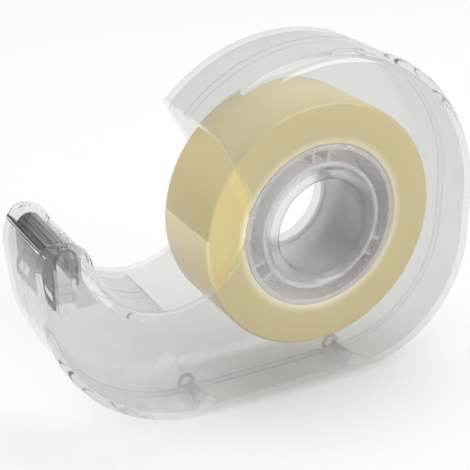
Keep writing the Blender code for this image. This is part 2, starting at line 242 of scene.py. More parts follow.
class RollSizes(bpy.types.PropertyGroup):
    tape_corner: length("Tape corner", "Rounding of the winding's edges", 0.6 * MM)
    tape_end_step: length("Tape end step", "Height of the step at the tape's free end", 0.12 * MM)
    tape_end_angle: FloatProperty(
        name="Tape end angle",
        description="Where the tape's free end lies on the roll",
        default=math.radians(175),
        subtype="ANGLE",
    )
    tape_segments: IntProperty(name="Tape segments", description="Steps round the winding", default=360)
    core_edge: length("Core edge", "Rounding of the core's edges", 0.25 * MM)
    rib_thickness: length("Rib thickness", "Thickness of the core's ribs", 0.8 * MM)
    rib_pairs: IntProperty(name="Rib pairs", description="Pairs of ribs between the core's rings", default=3)


class CutterSizes(bpy.types.PropertyGroup):
    sheet: length("Sheet", "Thickness of the bent steel", 0.5 * MM)
    sheet_edge: length("Sheet edge", "Rounding of the sheet's edges", 0.08 * MM)
    tooth_depth: length("Tooth depth", "Reach of the teeth in front of the lip", 1.1 * MM)
    tooth_count: IntProperty(name="Teeth", description="Teeth along the lip", default=19)


class Finishes(bpy.types.PropertyGroup):
    shell_tint: colour("Shell tint", "What one clear wall lets through", (0.835, 0.837, 0.833))
    core_tint: colour("Core tint", "What the clear core lets through", (0.87, 0.845, 0.858))
    steel: colour("Steel", "Colour of the cutter", (0.30, 0.30, 0.31))
    tape_outside: colour("Tape outside", "Colour of the winding's outer face", (0.57, 0.475, 0.225))
    tape_end: colour("Tape end", "Colour of the outer face past the tape's free end", (0.82, 0.71, 0.42))
    tape_side: colour("Tape side", "Colour of the winding's side faces", (0.60, 0.50, 0.21))
    tape_inside: colour("Tape inside", "Colour of the side faces next to the core", (0.84, 0.78, 0.54))
    floor: colour("Floor", "Colour of the studio floor", (0.84, 0.84, 0.84))


class StageSettings(bpy.types.PropertyGroup):
    world_strength: FloatProperty(name="World", description="Light from all round", default=0.88, min=0.0)
    top_power: FloatProperty(
        name="Top lamp", description="Power of the soft box overhead", default=1.9, unit="POWER"
    )
    side_power: FloatProperty(
        name="Side lamp", description="Power of the soft box at the near side", default=1.5, unit="POWER"
    )
    floor_size: length("Floor size", "Side of the floor", 6.0)


def on_circle(centre, radius, degrees):
    turn = math.radians(degrees)
    return centre[0] + radius * math.cos(turn), centre[1] + radius * math.sin(turn)


def arc(centre, radius, start, end, step=ARC_STEP):
    """Points on an arc from one angle to another, in degrees."""
    count = max(1, round(abs(end - start) / step))
    return [on_circle(centre, radius, start + (end - start) * i / count) for i in range(count + 1)]


def mesh_of(shape, name):
    """A mesh of a bmesh with its faces pointing outwards. The bmesh is freed."""
    bmesh.ops.recalc_face_normals(shape, faces=shape.faces)
    mesh = bpy.data.meshes.new(name)
    shape.to_mesh(mesh)
    shape.free()
    return mesh


def prism(name, outline, low_y, high_y):
    """A closed mesh of a flat outline in X and Z between two places on Y."""
    shape = bmesh.new()
    face = shape.faces.new([shape.verts.new((x, low_y, z)) for x, z in outline])
    made = bmesh.ops.extrude_face_region(shape, geom=[face])
    moved = [item for item in made["geom"] if isinstance(item, bmesh.types.BMVert)]
    bmesh.ops.translate(shape, verts=moved, vec=(0.0, high_y - low_y, 0.0))
    return mesh_of(shape, name)


def block(name, low, high):
    """A mesh of a box between two corners."""
    corners = [(low[0], low[2]), (high[0], low[2]), (high[0], high[2]), (low[0], high[2])]
    return prism(name, corners, low[1], high[1])


def rod(name, centre, radius, low_y, high_y, segments=CIRCLE_SEGMENTS):
    """A mesh of a cylinder that lies across the dispenser."""
    return prism(name, arc(centre, radius, 0, 360, 360 / segments)[:-1], low_y, high_y)


def turned(name, profile, segments=CIRCLE_SEGMENTS):
    """A mesh turned about the roll's axis. Its (radius, y) profile closes on itself or on the axis."""
    shape = bmesh.new()
    verts = [shape.verts.new((radius, y, 0.0)) for radius, y in profile]
    edges = [shape.edges.new(pair) for pair in zip(verts, verts[1:])]
    if profile[0][0] > 0.0:
        edges.append(shape.edges.new((verts[-1], verts[0])))
    bmesh.ops.spin(
        shape,
        geom=verts + edges,
        cent=(0.0, 0.0, 0.0),
        axis=(0.0, 1.0, 0.0),
        angle=math.tau,
        steps=segments,
        use_merge=True,
    )
    bmesh.ops.remove_doubles(shape, verts=shape.verts, dist=WELD / 10)
    return mesh_of(shape, name)


def holder_of(mesh):
    """A passing object that carries a mesh through its modifiers."""
    holder = bpy.data.objects.new(mesh.name, mesh)
    bpy.context.scene.collection.objects.link(holder)
    return holder


def baked(holder, *helpers):
    """The holder's mesh with its modifiers applied. The holder and its helpers are removed."""
    graph = bpy.context.evaluated_depsgraph_get()
    mesh = bpy.data.meshes.new_from_object(holder.evaluated_get(graph))
    for item in (holder, *helpers):
        bpy.data.objects.remove(item)
    return mesh


def combined(mesh, steps):
    """The mesh after Boolean steps, each an operation and another mesh."""
    holder = holder_of(mesh)
    helpers = []
    for operation, other in steps:
        helper = holder_of(other)
        modifier = holder.modifiers.new(operation, "BOOLEAN")
        modifier.operation = operation
        modifier.object = helper
        helpers.append(helper)
    return baked(holder, *helpers)


def softened(mesh, radius, seam_share=1.0, seam_reach=0.0):
    """The mesh with its outward edges rounded, less along the seam, its inward edges left sharp, and with
    even normals on its flats."""
    shape = bmesh.new()
    shape.from_mesh(mesh)
    bmesh.ops.remove_doubles(shape, verts=shape.verts, dist=WELD)
    bmesh.ops.dissolve_limit(shape, angle_limit=FLAT_ANGLE, verts=shape.verts, edges=shape.edges)
    weight = shape.edges.layers.float.new("bevel_weight_edge")
    for edge in shape.edges:
        turn = edge.calc_face_angle_signed()
        edge.smooth = turn > -SOFT_ANGLE
        if turn < SOFT_ANGLE:
            continue
        on_seam = all(abs(v.co.y) < seam_reach for v in edge.verts)
        edge[weight] = seam_share if on_seam else 1.0
    shape.to_mesh(mesh)
    shape.free()
    holder = holder_of(mesh)
    bevel = holder.modifiers.new("soft_edges", "BEVEL")
    bevel.limit_method = "WEIGHT"
    bevel.width = radius
    bevel.segments = SOFT_SEGMENTS
    bevel.use_clamp_overlap = False
    mesh = baked(holder)
    mesh.shade_smooth()
    holder = holder_of(mesh)
    even = holder.modifiers.new("even_normals", "WEIGHTED_NORMAL")
    even.keep_sharp = True
    return baked(holder)


def place_piece(name, mesh, material, body, slot, *nodes):
    """Puts a mesh that is drawn from the roll's axis into the frame as a finished piece."""
    mesh.name = name
    mesh.transform(Matrix.Translation(ROLL_AXIS))
    mesh.materials.clear()
    mesh.materials.append(material)
    piece = holder_of(mesh)
    piece.name = name
    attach(piece, body)
    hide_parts(*nodes)


def rim_outline(inset):
    """Side view of the shell before its mouth is cut, drawn in from the outside by inset.

    The front wall leans forwards from the toe's arc, reaches FRONT_X and bends back towards its top. The
    crown has one clear step where the hood's edge crosses it, so that no short edge is left there.
    """
    lean = math.radians(FRONT_LEAN)
    bend = (FRONT_X + BEND_RADIUS, BEND_Z)
    wall_x = bend[0] - BEND_RADIUS * math.cos(lean)
    wall_rise = BEND_Z - BEND_RADIUS * math.sin(lean) - BASE_Z - TOE_RADIUS * (1 - math.sin(lean))
    toe_x = wall_x + wall_rise * math.tan(lean) + TOE_RADIUS * math.cos(lean)
    toe = (toe_x, BASE_Z + TOE_RADIUS)
    heel = (BACK_X - HEEL_RADIUS, BASE_Z + HEEL_RADIUS)
    crown = (BACK_X - CROWN_RADIUS, CROWN_TOP - CROWN_RADIUS)
    points = arc(toe, TOE_RADIUS - inset, 270, 180 + FRONT_LEAN)
    points += arc(bend, BEND_RADIUS - inset, 180 + FRONT_LEAN, BEND_END, 3 * ARC_STEP)
    points.append((FRONT_X + MOUTH_RADIUS / 4, BLANK_TOP - inset))
    points.append((FRONT_X + MOUTH_RADIUS, BLANK_TOP - inset))
    points += arc(crown, CROWN_RADIUS - inset, CROWN_END, HOOD_STEP[0])
    points += arc(crown, CROWN_RADIUS - inset, HOOD_STEP[1], 0)
    points += arc(heel, HEEL_RADIUS - inset, 0, -90)[1:]
    return points


def hood_touch():
    """Bearing, in degrees, at which the hood's straight front edge leaves the round mouth."""
    away = math.hypot(HOOD_TIP[0] - MOUTH_CENTRE[0], HOOD_TIP[1] - MOUTH_CENTRE[1])
    bearing = math.atan2(HOOD_TIP[1] - MOUTH_CENTRE[1], HOOD_TIP[0] - MOUTH_CENTRE[0])
    return math.degrees(bearing - math.acos(MOUTH_RADIUS / away))


def hood_square():
    """Direction in X and Z from the hood's front edge into the hood."""
    return on_circle((0.0, 0.0), 1.0, hood_touch())


def mouth_outline():
    """Everything above the head, the mouth's edge and the hood's front edge."""
    touch = hood_touch()
    start = on_circle(MOUTH_CENTRE, MOUTH_RADIUS, touch)
    run = math.hypot(HOOD_TIP[0] - start[0], HOOD_TIP[1] - start[1])
    beyond = [tip + (tip - low) * CLEAR_OUT / run for tip, low in zip(HOOD_TIP, start)]
    cap_back = (MOUTH_CENTRE[0] - MOUTH_RADIUS - CAP_BACK_RADIUS, CAP_TOP - CAP_BACK_RADIUS)
    reach = BEND_RADIUS - CAP_FRONT_RADIUS
    cap_rise = math.asin((CAP_TOP - CAP_FRONT_RADIUS - BEND_Z) / reach)
    cap_front = (FRONT_X + BEND_RADIUS - reach * math.cos(cap_rise), CAP_TOP - CAP_FRONT_RADIUS)
    outside = FRONT_X - CLEAR_OUT
    above = CROWN_TOP + CLEAR_OUT
    points = [(beyond[0], above), tuple(beyond)]
    points += arc(MOUTH_CENTRE, MOUTH_RADIUS, touch, MOUTH_END)
    points += arc(cap_back, CAP_BACK_RADIUS, CAP_BACK_START, 90, 3 * ARC_STEP)
    points += arc(cap_front, CAP_FRONT_RADIUS, 90, 180 - math.degrees(cap_rise), 5 * ARC_STEP)
    points += [(outside, points[-1][1]), (outside, above)]
    return points


def platform_outline(sheet):
    """Concave strip along the mouth, with a rounded land behind the cutter at its upper end."""
    land_end = LAND_CENTRE[0] + LAND_RADIUS + sheet / 2 + FIT_GAP
    corner = on_circle(MOUTH_CENTRE, PLATFORM_TOP_RADIUS, PLATFORM_HIGH)
    shoulder = (corner[0] - LAND_ROUND, LAND_TOP - LAND_ROUND)
    points = arc(MOUTH_CENTRE, PLATFORM_TOP_RADIUS, PLATFORM_LOW, PLATFORM_HIGH)
    points += arc(shoulder, LAND_ROUND, LAND_START, 90, 8 * ARC_STEP)
    points.append((land_end, LAND_TOP))
    points.append((land_end, corner[1] - LAND_ROUND))
    points += arc(MOUTH_CENTRE, PLATFORM_UNDER_RADIUS, PLATFORM_HIGH + PLATFORM_LEAD, PLATFORM_LOW)
    return points


def seat_outline(sheet):
    """Block that fits inside the cutter's bend."""
    radius = LAND_RADIUS - sheet / 2 - FIT_GAP
    points = arc(LAND_CENTRE, radius, 0, 180, 10 * ARC_STEP)
    return points + [(LAND_CENTRE[0] - radius, SEAT_LOW), (LAND_CENTRE[0] + radius, SEAT_LOW)]


def floor_outline():
    """Sloped floor that closes the head under the cutter and runs into the platform."""
    points = [(FLOOR_FRONT, FLOOR_TOP), (FLOOR_FRONT + FLOOR_SLOPE, FLOOR_UNDER)]
    middle = (PLATFORM_TOP_RADIUS + PLATFORM_UNDER_RADIUS) / 2
    for height in (FLOOR_UNDER, FLOOR_TOP):
        drop = MOUTH_CENTRE[1] - height
        points.append((MOUTH_CENTRE[0] - math.sqrt(middle**2 - drop**2), height))
    return points


def gap_outline(wall):
    """Gap between the side caps, down to a front wall whose top slopes along under the cutter's lip."""
    slope = (LIP_TIP[1] - LIP_ROOT[1]) / (LIP_TIP[0] - LIP_ROOT[0])
    above = CAP_TOP + wall
    front = FRONT_X - wall
    back = FRONT_X + GAP_WALLS * wall
    foot = FRONT_X + FRONT_WALL_WALLS * wall
    top_x = FRONT_X + BEND_RADIUS - math.sqrt(BEND_RADIUS**2 - (FRONT_WALL_TOP - BEND_Z) ** 2)
    front_z, foot_z = (FRONT_WALL_TOP + slope * (x - top_x) for x in (front, foot))
    return [(back, above), (front, above), (front, front_z), (foot, foot_z), (back, foot_z)]


def rounded_blank(sizes, inset):
    """The rim outline as a solid with rounded long edges."""
    mesh = prism("blank", rim_outline(inset), inset - HALF_WIDTH, HALF_WIDTH - inset)
    holder = holder_of(mesh)
    edges = holder.modifiers.new("edges", "BEVEL")
    edges.width = sizes.edge_radius - inset
    edges.segments = ROUND_SEGMENTS
    edges.limit_method = "ANGLE"
    edges.angle_limit = BLANK_EDGE_ANGLE
    edges.use_clamp_overlap = False
    return baked(holder)


def bore_mesh(sizes, side):
    """Through bore of the hub, flared where the side wall turns into it."""
    flare = (sizes.bore_radius + sizes.flare_radius, HALF_WIDTH - sizes.flare_radius)
    outside = HALF_WIDTH + CLEAR_OUT
    points = [(0.0, -outside), (sizes.bore_radius, -outside)]
    points += arc(flare, sizes.flare_radius, 180, 95, 4 * ARC_STEP)
    points += [(flare[0], HALF_WIDTH + MM), (flare[0], outside), (0.0, outside)]
    return turned("bore", [(radius, y * side) for radius, y in points])


def half_body(sizes, sheet):
    """What both halves share, on the far side: rim, wall, mouth, platform, head floor and cutter seat."""
    seam = sizes.seam_gap / 2
    outside = HALF_WIDTH + CLEAR_OUT
    reach = 5 * CLEAR_OUT
    inner = HALF_WIDTH - sizes.wall
    return combined(
        rounded_blank(sizes, 0.0),
        [
            ("DIFFERENCE", rounded_blank(sizes, sizes.wall)),
            ("DIFFERENCE", prism("mouth", mouth_outline(), -outside, outside)),
            ("DIFFERENCE", prism("cutter_gap", gap_outline(sizes.wall), -CUTTER_GAP_HALF, CUTTER_GAP_HALF)),
            ("DIFFERENCE", block("other_half", (-reach, -outside, -reach), (reach, seam, reach))),
            ("UNION", prism("platform", platform_outline(sheet), seam, inner + BITE)),
            ("UNION", prism("head_floor", floor_outline(), seam, inner + BITE)),
            ("UNION", prism("seat", seat_outline(sheet), inner - SEAT_LENGTH, inner + BITE)),
        ],
    )


def finished_half(sizes, body, side):
    """One half shell from the shared body. side is -1 for the near half and +1 for the far half."""
    seam = sizes.seam_gap / 2
    inner = HALF_WIDTH - sizes.wall

    def across(name, centre, radius, start, end, segments=CIRCLE_SEGMENTS):
        low_y, high_y = sorted((start * side, end * side))
        return rod(name, centre, radius, low_y, high_y, segments)

    if side < 0:
        body.transform(Matrix.Scale(-1.0, 4, (0.0, 1.0, 0.0)))
        body.flip_normals()
    steps = [
        ("UNION", across("hub", (0.0, 0.0), HUB_RADIUS, HUB_SPLIT_Y * side + seam, inner + BITE)),
        ("DIFFERENCE", bore_mesh(sizes, side)),
    ]
    for x in POST_PLACES:
        centre = (x, POST_HEIGHT)
        post_start = seam + POST_SETBACK
        post = across("post", centre, POST_RADIUS, post_start, inner + POST_BITE, POST_SEGMENTS)
        steps.append(("UNION", post))
        if side > 0:
            pin = across("pin", centre, PIN_RADIUS, -PIN_REACH, BITE, PIN_SEGMENTS)
            steps.append(("UNION", pin))
        else:
            socket = across("socket", centre, SOCKET_RADIUS, -BITE, SOCKET_DEPTH, PIN_SEGMENTS)
            steps.append(("DIFFERENCE", socket))
    seam_reach = seam + POST_SETBACK + WELD
    half = softened(combined(body, steps), sizes.soft_edge, sizes.seam_edge / sizes.soft_edge, seam_reach)
    for vertex in half.vertices:
        vertex.co.y = min(max(vertex.co.y, -HALF_WIDTH), HALF_WIDTH)
    return half


def make_half_shells(scene):
    sizes = scene.dispenser_shell
    clear = shell_plastic(scene.dispenser_finish.shell_tint)
    body = half_body(sizes, scene.dispenser_cutter.sheet)
    near = finished_half(sizes, body.copy(), -1)
    far = finished_half(sizes, body, 1)
    place_piece("clear_near_half", near, clear, "case", "clear_shell", "near_half")
    place_piece("clear_far_half", far, clear, "cover", "clear_shell", "far_half")


def blade_outline(sheet):
    """Section of the bent sheet: front leg, land and back leg."""
    outer = LAND_RADIUS + sheet / 2
    inner = LAND_RADIUS - sheet / 2
    middle = LAND_CENTRE[0]
    points = [(middle + outer, BACK_LEG_END)]
    points += arc(LAND_CENTRE, outer, 0, 180, 3 * ARC_STEP)
    points += [(middle - outer, FRONT_LEG_END), (middle - inner, FRONT_LEG_END)]
    points += arc(LAND_CENTRE, inner, 180, 0, 3 * ARC_STEP)
    points.append((middle + inner, BACK_LEG_END))
    return points


def lip_outline(tooth_depth):
    """Section of the lip as far as the roots of its teeth."""
    run = Vector(LIP_TIP) - Vector(LIP_ROOT)
    along = run.normalized()
    thick = Vector((-along.y, along.x)) * LIP_SHEET / 2
    start = Vector(LIP_ROOT)
    end = Vector(LIP_TIP) - along * tooth_depth
    return [tuple(start + thick), tuple(end + thick), tuple(end - thick), tuple(start - thick)]


def node_tree(name, inputs):
    """A Geometry Nodes tree with named inputs and one geometry output."""
    tree = bpy.data.node_groups.new(name, "GeometryNodeTree")
    tree.interface.new_socket("Geometry", in_out="OUTPUT", socket_type="NodeSocketGeometry")
    for title, kind in inputs:
        tree.interface.new_socket(title, in_out="INPUT", socket_type="NodeSocket" + kind)
    return tree


def add_node(tree, kind, links=None, **settings):
    """A node with its settings. links maps an input's name or number to a socket or a plain value."""
    node = tree.nodes.new(kind)
    for key, value in settings.items():
        setattr(node, key, value)
    for key, value in (links or {}).items():
        if isinstance(value, bpy.types.NodeSocket):
            tree.links.new(value, node.inputs[key])
        else:
            node.inputs[key].default_value = value
    return node


def maths(tree, operation, *values):
    return add_node(tree, "ShaderNodeMath", dict(enumerate(values)), operation=operation).outputs[0]


def vector_maths(tree, operation, *values, output=0):
    node = add_node(tree, "ShaderNodeVectorMath", dict(enumerate(values)), operation=operation)
    return node.outputs[output]


def turn_past(tree, bearing, angle):
    """Share of a full turn, from 0 to 1, by which a bearing lies past an angle."""
    return maths(tree, "FRACT", maths(tree, "DIVIDE", maths(tree, "SUBTRACT", bearing, angle), math.tau))


def end_tree(tree, geometry, material):
    """Realises the instances, sets the material and ends the tree."""
    realised = add_node(tree, "GeometryNodeRealizeInstances", {"Geometry": geometry})
    links = {"Geometry": realised.outputs[0], "Material": material}
    dressed = add_node(tree, "GeometryNodeSetMaterial", links)
    add_node(tree, "NodeGroupOutput", {"Geometry": dressed.outputs[0]})


def grown(tree, values):
    """The mesh that a Geometry Nodes tree makes with these values for its named inputs."""
    holder = holder_of(bpy.data.meshes.new(tree.name))
    modifier = holder.modifiers.new(tree.name, "NODES")
    modifier.node_group = tree
    for item in tree.interface.items_tree:
        if item.in_out == "INPUT" and item.name in values:
            modifier[item.identifier] = values[item.name]
    return baked(holder)


def teeth_tree():
    """A row of pointed teeth along Y, with their roots on the X axis' zero and their points towards +X."""
    inputs = [("Count", "Int"), ("Pitch", "Float"), ("Depth", "Float"), ("Sheet", "Float")]
    tree = node_tree("cutter_teeth", inputs + [("Material", "Material")])
    given = add_node(tree, "NodeGroupInput").outputs
    tooth = add_node(
        tree, "GeometryNodeMeshCylinder", {"Vertices": 3, "Radius": 1.0, "Depth": given["Sheet"]}
    )
    wide = maths(tree, "DIVIDE", given["Pitch"], math.sqrt(3.0))
    deep = maths(tree, "DIVIDE", given["Depth"], 1.5)
    scale = add_node(tree, "ShaderNodeCombineXYZ", {"X": deep, "Y": wide, "Z": 1.0})
    place = add_node(tree, "ShaderNodeCombineXYZ", {"X": maths(tree, "MULTIPLY", deep, 0.5)})
    shaped = add_node(
        tree,
        "GeometryNodeTransform",
        {"Geometry": tooth.outputs["Mesh"], "Scale": scale.outputs[0], "Translation": place.outputs[0]},
    )
    reach = maths(tree, "MULTIPLY", maths(tree, "SUBTRACT", given["Count"], 1.0), given["Pitch"])
    first = add_node(tree, "ShaderNodeCombineXYZ", {"Y": maths(tree, "MULTIPLY", reach, -0.5)})
    step = add_node(tree, "ShaderNodeCombineXYZ", {"Y": given["Pitch"]})
    row = add_node(
        tree,
        "GeometryNodeMeshLine",
        {"Count": given["Count"], "Start Location": first.outputs[0], "Offset": step.outputs[0]},
    )
    teeth = add_node(
        tree, "GeometryNodeInstanceOnPoints", {"Points": row.outputs[0], "Instance": shaped.outputs[0]}
    )
    end_tree(tree, teeth.outputs[0], given["Material"])
    return tree


def make_cutter(scene):
    sizes = scene.dispenser_cutter
    steel = cutter_steel(scene.dispenser_finish.steel)
    half = BLADE_HIGH.y
    front = LAND_CENTRE[0] - LAND_RADIUS
    steps = [("UNION", prism("lip", lip_outline(sizes.tooth_depth), -half, half))]
    for low_y, high_y in ((-SLOT_FAR, -SLOT_NEAR), (SLOT_NEAR, SLOT_FAR)):
        slot = block("slot", (front - MM, low_y, SLOT_LOW), (front + MM, high_y, SLOT_HIGH))
        steps.append(("DIFFERENCE", slot))
    sheet = combined(prism("sheet", blade_outline(sizes.sheet), -half, half), steps)
    place_piece(
        "steel_cutter", softened(sheet, sizes.sheet_edge), steel, "case", "cutter_steel", "cutter_blade"
    )

    values = {
        "Count": sizes.tooth_count,
        "Pitch": 2 * half / sizes.tooth_count,
        "Depth": sizes.tooth_depth + LIP_SHEET,
        "Sheet": LIP_SHEET * 0.8,
        "Material": steel,
    }
    teeth = grown(teeth_tree(), values)
    tilt = math.atan2(LIP_TIP[1] - LIP_ROOT[1], LIP_ROOT[0] - LIP_TIP[0])
    along = Vector((LIP_TIP[0] - LIP_ROOT[0], 0.0, LIP_TIP[1] - LIP_ROOT[1])).normalized()
    root = Vector((LIP_TIP[0], 0.0, LIP_TIP[1])) - along * values["Depth"]
    turn = Matrix.Rotation(tilt, 4, "Y") @ Matrix.Rotation(math.pi, 4, "Z")
    teeth.transform(Matrix.Translation(root) @ turn)
    place_piece("cutter_teeth", teeth, steel, "case", "cutter_steel", "cutter_blade")


def ribs_tree():
    """Pairs of flat ribs that stand across a ring, about the Z axis."""
    inputs = [("Pairs", "Int"), ("Radius", "Float"), ("Spread", "Float"), ("First", "Float")]
    inputs += [("Size", "Vector"), ("Material", "Material")]
    tree = node_tree("core_ribs", inputs)
    given = add_node(tree, "NodeGroupInput").outputs
    ring = add_node(tree, "GeometryNodeMeshCircle", {"Vertices": given["Pairs"], "Radius": given["Radius"]})
    rib = add_node(tree, "GeometryNodeMeshCube", {"Size": given["Size"]})
    position = add_node(tree, "GeometryNodeInputPosition").outputs[0]
    outward = add_node(tree, "FunctionNodeAlignRotationToVector", {"Vector": position}, axis="X")
    ribs = add_node(
        tree,
        "GeometryNodeInstanceOnPoints",
        {"Points": ring.outputs[0], "Instance": rib.outputs[0], "Rotation": outward.outputs[0]},
    )
    both = add_node(tree, "GeometryNodeJoinGeometry")
    for sign in (-1.0, 1.0):
        angle = maths(tree, "MULTIPLY_ADD", given["Spread"], sign, given["First"])
        turn = add_node(tree, "ShaderNodeCombineXYZ", {"Z": angle})
        turned_ribs = add_node(
            tree, "GeometryNodeTransform", {"Geometry": ribs.outputs[0], "Rotation": turn.outputs[0]}
        )
        tree.links.new(turned_ribs.outputs[0], both.inputs[0])
    end_tree(tree, both.outputs[0], given["Material"])
    return tree


def make_core(scene):
    sizes = scene.dispenser_roll
    clear = core_plastic(scene.dispenser_finish.core_tint)
    half = CORE_HIGH.y
    radius = CORE_HIGH.x
    profile = [
        (CORE_BORE, -half),
        (CORE_INNER, -half),
        (CORE_INNER, -WEB_HALF),
        (CORE_OUTER, -WEB_HALF),
        (CORE_OUTER, -half),
        (radius, -half),
    ]
    profile += [(r, -y) for r, y in reversed(profile)]
    ribs = grown(
        ribs_tree(),
        {
            "Pairs": sizes.rib_pairs,
            "Radius": (CORE_INNER + CORE_OUTER) / 2,
            "Spread": math.radians(RIB_SPREAD),
            "First": math.radians(RIB_FIRST),
            "Size": (CORE_OUTER - CORE_INNER + 2 * BITE, sizes.rib_thickness, 2 * RIB_HALF),
            "Material": clear,
        },
    )
    ribs.transform(Matrix.Rotation(math.radians(90), 4, "X"))
    core = combined(turned("core", profile), [("UNION", ribs)])
    place_piece("clear_core", softened(core, sizes.core_edge), clear, "roll", "clear_core", "tape_core")


def tape_tree():
    """A winding about the Z axis: a rounded section swept round a circle, with a step at the tape's end."""
    inputs = [(title, "Float") for title in ("Inner", "Outer", "Width", "Corner", "Step", "End")]
    tree = node_tree("wound_tape", inputs + [("Segments", "Int"), ("Material", "Material")])
    given = add_node(tree, "NodeGroupInput").outputs
    thick = maths(tree, "SUBTRACT", given["Outer"], given["Inner"])
    middle = maths(tree, "MULTIPLY_ADD", thick, 0.5, given["Inner"])
    path = add_node(
        tree, "GeometryNodeCurvePrimitiveCircle", {"Resolution": given["Segments"], "Radius": middle}
    )
    section = add_node(
        tree, "GeometryNodeCurvePrimitiveQuadrilateral", {"Width": thick, "Height": given["Width"]}
    )
    rounded = add_node(
        tree,
        "GeometryNodeFilletCurve",
        {"Curve": section.outputs[0], "Radius": given["Corner"], "Count": 4},
        mode="POLY",
    )
    swept = add_node(
        tree, "GeometryNodeCurveToMesh", {"Curve": path.outputs[0], "Profile Curve": rounded.outputs[0]}
    )
    position = add_node(tree, "GeometryNodeInputPosition").outputs[0]
    flat = vector_maths(tree, "MULTIPLY", position, (1.0, 1.0, 0.0))
    apart = add_node(tree, "ShaderNodeSeparateXYZ", {"Vector": flat})
    bearing = maths(tree, "ARCTAN2", apart.outputs["Y"], apart.outputs["X"])
    turn = turn_past(tree, bearing, given["End"])
    away = maths(tree, "SUBTRACT", vector_maths(tree, "LENGTH", flat, output=1), given["Inner"])
    share = maths(tree, "DIVIDE", away, thick)
    drop = maths(tree, "MULTIPLY", maths(tree, "MULTIPLY", turn, share), given["Step"])
    inward = vector_maths(tree, "NORMALIZE", flat)
    offset = add_node(tree, "ShaderNodeVectorMath", {0: inward}, operation="SCALE")
    tree.links.new(maths(tree, "MULTIPLY", drop, -1.0), offset.inputs["Scale"])
    wound = add_node(
        tree, "GeometryNodeSetPosition", {"Geometry": swept.outputs[0], "Offset": offset.outputs[0]}
    )
    end_tree(tree, wound.outputs[0], given["Material"])
    return tree


def make_tape(scene):
    sizes = scene.dispenser_roll
    material = wound_tape(scene.dispenser_finish, sizes.tape_end_angle)
    winding = grown(
        tape_tree(),
        {
            "Inner": TAPE_INNER,
            "Outer": TAPE_HIGH.x,
            "Width": 2 * TAPE_HIGH.y,
            "Corner": sizes.tape_corner,
            "Step": sizes.tape_end_step,
            "End": sizes.tape_end_angle,
            "Segments": sizes.tape_segments,
            "Material": material,
        },
    )
    winding.transform(Matrix.Rotation(math.radians(90), 4, "X"))
    winding.shade_smooth()
    place_piece("wound_tape", winding, material, "roll", "wound_tape", "tape_roll")


def ramp(tree, value, low, high, start=0.0, end=1.0, course="SMOOTHSTEP"):
    """A value that goes from start to end while another goes from low to high."""
    links = {"Value": value, "From Min": low, "From Max": high, "To Min": start, "To Max": end}
    return add_node(tree, "ShaderNodeMapRange", links, interpolation_type=course).outputs[0]


def shader_group(name, inputs, outputs):
    """A shader node group with a vector input, float inputs with their defaults, and float outputs."""
    tree = bpy.data.node_groups.new(name, "ShaderNodeTree")
    tree.interface.new_socket("Vector", in_out="INPUT", socket_type="NodeSocketVector")
    for title, default in inputs:
        socket = tree.interface.new_socket(title, in_out="INPUT", socket_type="NodeSocketFloat")
        socket.default_value = default
    for title in outputs:
        tree.interface.new_socket(title, in_out="OUTPUT", socket_type="NodeSocketFloat")
    return tree


def handling_marks():
    """Smudges and hairline scratches from handling, as a mask from 0 to 1."""
    found = bpy.data.node_groups.get("handling_marks")
    if found:
        return found
    tree = shader_group("handling_marks", [("Scale", 300.0), ("Amount", 0.5)], ["Mask"])
    given = add_node(tree, "NodeGroupInput").outputs
    smudge = add_node(
        tree, "ShaderNodeTexNoise", {"Vector": given["Vector"], "Scale": given["Scale"], "Detail": 4.0}
    )
    smudges = ramp(tree, smudge.outputs[0], 0.52, 0.75, course="LINEAR")
    stretched = add_node(
        tree,
        "ShaderNodeMapping",
        {"Vector": given["Vector"], "Rotation": (0.3, 0.5, 0.2), "Scale": (0.08, 1.0, 1.0)},
    )
    cells = add_node(
        tree,
        "ShaderNodeTexVoronoi",
        {"Vector": stretched.outputs[0], "Scale": maths(tree, "MULTIPLY", given["Scale"], 2.0)},
        feature="DISTANCE_TO_EDGE",
    )
    lines = ramp(tree, cells.outputs[0], 0.0, 0.02, 0.5, 0.0, course="LINEAR")
    mask = maths(tree, "MAXIMUM", smudges, lines)
    add_node(tree, "NodeGroupOutput", {"Mask": maths(tree, "MULTIPLY", mask, given["Amount"])})
    return tree


def moulding_flow():
    """Slow waves that moulding leaves in a plastic surface, as a height from 0 to 1."""
    found = bpy.data.node_groups.get("moulding_flow")
    if found:
        return found
    tree = shader_group("moulding_flow", [("Scale", 60.0)], ["Height"])
    given = add_node(tree, "NodeGroupInput").outputs
    wave = add_node(
        tree,
        "ShaderNodeTexNoise",
        {"Vector": given["Vector"], "Scale": given["Scale"], "Detail": 1.0, "Distortion": 0.6},
    )
    add_node(tree, "NodeGroupOutput", {"Height": wave.outputs[0]})
    return tree


def new_material(name):
    """A node material with its tree, its Principled shader and its Object coordinates."""
    material = bpy.data.materials.new(name)
    material.use_nodes = True
    tree = material.node_tree
    shader = tree.nodes["Principled BSDF"]
    place = add_node(tree, "ShaderNodeTexCoord").outputs["Object"]
    return material, tree, shader, place


def from_roll(tree, place):
    """Object coordinates as measured from the roll's axis."""
    return add_node(tree, "ShaderNodeMapping", {"Vector": place, "Location": tuple(-ROLL_AXIS)}).outputs[0]


def use_group(tree, group, place, **values):
    return add_node(tree, "ShaderNodeGroup", {"Vector": place, **values}, node_tree=group)


def shade_range(tree, value, low, high):
    """A value from 0 to 1 as one from low to high."""
    return ramp(tree, value, 0.0, 1.0, low, high, course="LINEAR")


